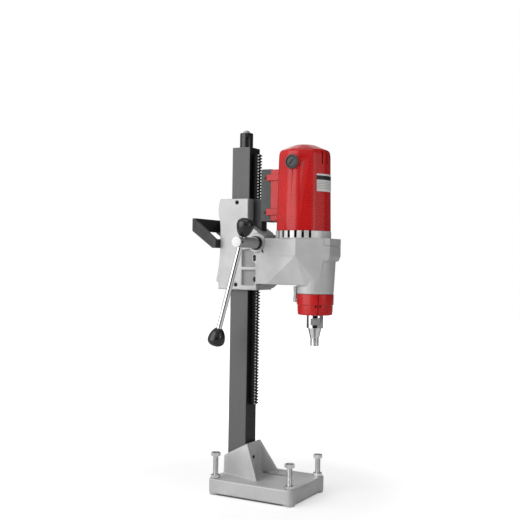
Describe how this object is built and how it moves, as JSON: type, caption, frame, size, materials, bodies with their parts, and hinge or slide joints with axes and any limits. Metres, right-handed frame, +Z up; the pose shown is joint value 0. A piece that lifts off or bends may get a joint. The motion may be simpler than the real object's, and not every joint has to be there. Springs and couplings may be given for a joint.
{
  "type": "core drill rig",
  "caption": "Portable core drill rig: square column on a levelling base, rack-fed carriage with a sliding T-bar, and an upright electric drill with a threaded water-fed spindle.",
  "frame": {"origin": "on the ground plane, on the axis of the square column", "axes": "+Z up along the column, +X from the column towards the spindle, -Y the side the feed crank is on"},
  "size_m": [0.3911, 0.244, 0.951],
  "materials": {
    "cast_grey": "silver-grey paint over fine sand casting",
    "column_black": "satin black powder coat",
    "rack_black": "blackened steel, oiled",
    "black_fastener": "black oxide",
    "zinc_plate": "bright zinc plate",
    "guide_bronze": "machined, worn in",
    "black_moulding": "glossy black moulding",
    "handle_black": "satin black paint",
    "plain_steel": "ground steel, lightly oiled",
    "machined_alloy": "turned and machined",
    "bright_chrome": "polished",
    "red_enamel": "gloss red enamel over die-cast alloy",
    "grey_moulding": "fine-grained dark grey moulding",
    "copper_bars": "copper segments, worn",
    "carbon_block": "pressed carbon"
  },
  "bodies": {
    "stand": {"base_plate": "cast_grey", "column_tube": "column_black", "feed_rack": "rack_black", "column_clamp_screw": "black_fastener", "levelling_nut_front_left": "zinc_plate", "levelling_nut_front_right": "zinc_plate", "levelling_nut_rear_left": "zinc_plate", "levelling_nut_rear_right": "zinc_plate"},
    "carriage": {"carriage_housing": "cast_grey", "guide_pad_front_left": "guide_bronze", "guide_pad_front_right": "guide_bronze", "guide_pad_rear_left": "guide_bronze", "guide_pad_rear_right": "guide_bronze", "guide_screw_upper": "black_fastener", "guide_screw_lower": "black_fastener", "feed_bush_left": "black_fastener", "feed_bush_right": "black_fastener", "arm_bolt_left_upper": "black_fastener", "arm_bolt_left_lower": "black_fastener", "arm_bolt_right_upper": "black_fastener", "arm_bolt_right_lower": "black_fastener", "carry_handle": "handle_black", "rack_guard": "handle_black", "gearbox_housing": "cast_grey", "gearbox_cover": "cast_grey", "motor_flange": "machined_alloy", "motor_housing": "red_enamel", "switch_box": "grey_moulding", "stator_core": "plain_steel", "brush_cap_left": "grey_moulding", "brush_cap_right": "grey_moulding", "carbon_brush_left": "carbon_block", "carbon_brush_right": "carbon_block", "motor_bearing_upper": "plain_steel", "motor_bearing_lower": "plain_steel", "spindle_bearing_upper": "plain_steel", "spindle_bearing_lower": "plain_steel", "water_collar": "red_enamel", "water_inlet": "plain_steel"},
    "feed_shaft": {"feed_pinion_shaft": "plain_steel", "crank_hub": "machined_alloy"},
    "tbar": {"tbar_rod": "bright_chrome", "tbar_knob_lower": "black_moulding", "tbar_knob_upper": "black_moulding"},
    "lock_lever": {"carriage_lock_lever": "black_fastener"},
    "rocker": {"switch_rocker": "black_moulding"},
    "armature": {"armature": "plain_steel", "commutator": "copper_bars", "cooling_fan": "black_moulding"},
    "layshaft": {"layshaft": "plain_steel", "layshaft_gear": "plain_steel"},
    "spindle": {"spindle": "bright_chrome", "spindle_gear": "plain_steel"},
    "jack_nut": {"jack_nut": "black_moulding"},
    "jack_screw": {"jack_screw": "plain_steel"},
    "levelling_front_left": {"levelling_screw_front_left": "zinc_plate"},
    "levelling_front_right": {"levelling_screw_front_right": "zinc_plate"},
    "levelling_rear_left": {"levelling_screw_rear_left": "zinc_plate"},
    "levelling_rear_right": {"levelling_screw_rear_right": "zinc_plate"}
  },
  "joints": [
    {"name": "feed_slide", "type": "slide", "parent": "stand", "child": "carriage", "axis": [0, 0, 1], "range_m": [-0.345, 0.12]},
    {"name": "feed_shaft_spin", "type": "hinge", "parent": "carriage", "child": "feed_shaft", "pos_m": [0.06, 0, 0.651], "axis": [0, 1, 0], "range_deg": [-395, 1132]},
    {"name": "tbar_slide", "type": "slide", "parent": "feed_shaft", "child": "tbar", "axis": [0.2672, 0, 0.9636], "range_m": [0, 0.212]},
    {"name": "lock_lever_turn", "type": "hinge", "parent": "carriage", "child": "lock_lever", "pos_m": [-0.015, 0.05, 0.7], "axis": [0, 1, 0], "range_deg": [-75, 0]},
    {"name": "switch_rock", "type": "hinge", "parent": "carriage", "child": "rocker", "pos_m": [0.078, 0.024, 0.79], "axis": [1, 0, 0], "range_deg": [-8, 8]},
    {"name": "armature_spin", "type": "hinge", "parent": "carriage", "child": "armature", "pos_m": [0.173, 0, 0.75], "axis": [0, 0, 1], "continuous": true},
    {"name": "layshaft_spin", "type": "hinge", "parent": "carriage", "child": "layshaft", "pos_m": [0.16857, 0.0327, 0.62], "axis": [0, 0, 1], "continuous": true},
    {"name": "spindle_spin", "type": "hinge", "parent": "carriage", "child": "spindle", "pos_m": [0.209, 0, 0.5], "axis": [0, 0, 1], "continuous": true},
    {"name": "jack_screw_rise", "type": "slide", "parent": "stand", "child": "jack_screw", "axis": [0, 0, 1], "range_m": [0, 0.024]},
    {"name": "jack_nut_turn", "type": "hinge", "parent": "stand", "child": "jack_nut", "pos_m": [0, 0, 0.92], "axis": [0, 0, 1], "range_deg": [-0.1, 2160.1]},
    {"name": "levelling_front_left_travel", "type": "slide", "parent": "stand", "child": "levelling_front_left", "axis": [0, 0, 1], "range_m": [-0.025, 0.03]},
    {"name": "levelling_front_right_travel", "type": "slide", "parent": "stand", "child": "levelling_front_right", "axis": [0, 0, 1], "range_m": [-0.025, 0.03]},
    {"name": "levelling_rear_left_travel", "type": "slide", "parent": "stand", "child": "levelling_rear_left", "axis": [0, 0, 1], "range_m": [-0.025, 0.03]},
    {"name": "levelling_rear_right_travel", "type": "slide", "parent": "stand", "child": "levelling_rear_right", "axis": [0, 0, 1], "range_m": [-0.025, 0.03]}
  ],
  "couplings": [
    {"joint": "feed_shaft_spin", "follows": "feed_slide", "rad_per_m": -57.143},
    {"joint": "layshaft_spin", "follows": "armature_spin", "ratio": -0.26923},
    {"joint": "spindle_spin", "follows": "armature_spin", "ratio": 0.09919},
    {"joint": "jack_nut_turn", "follows": "jack_screw_rise", "rad_per_m": 1570.8}
  ]
}
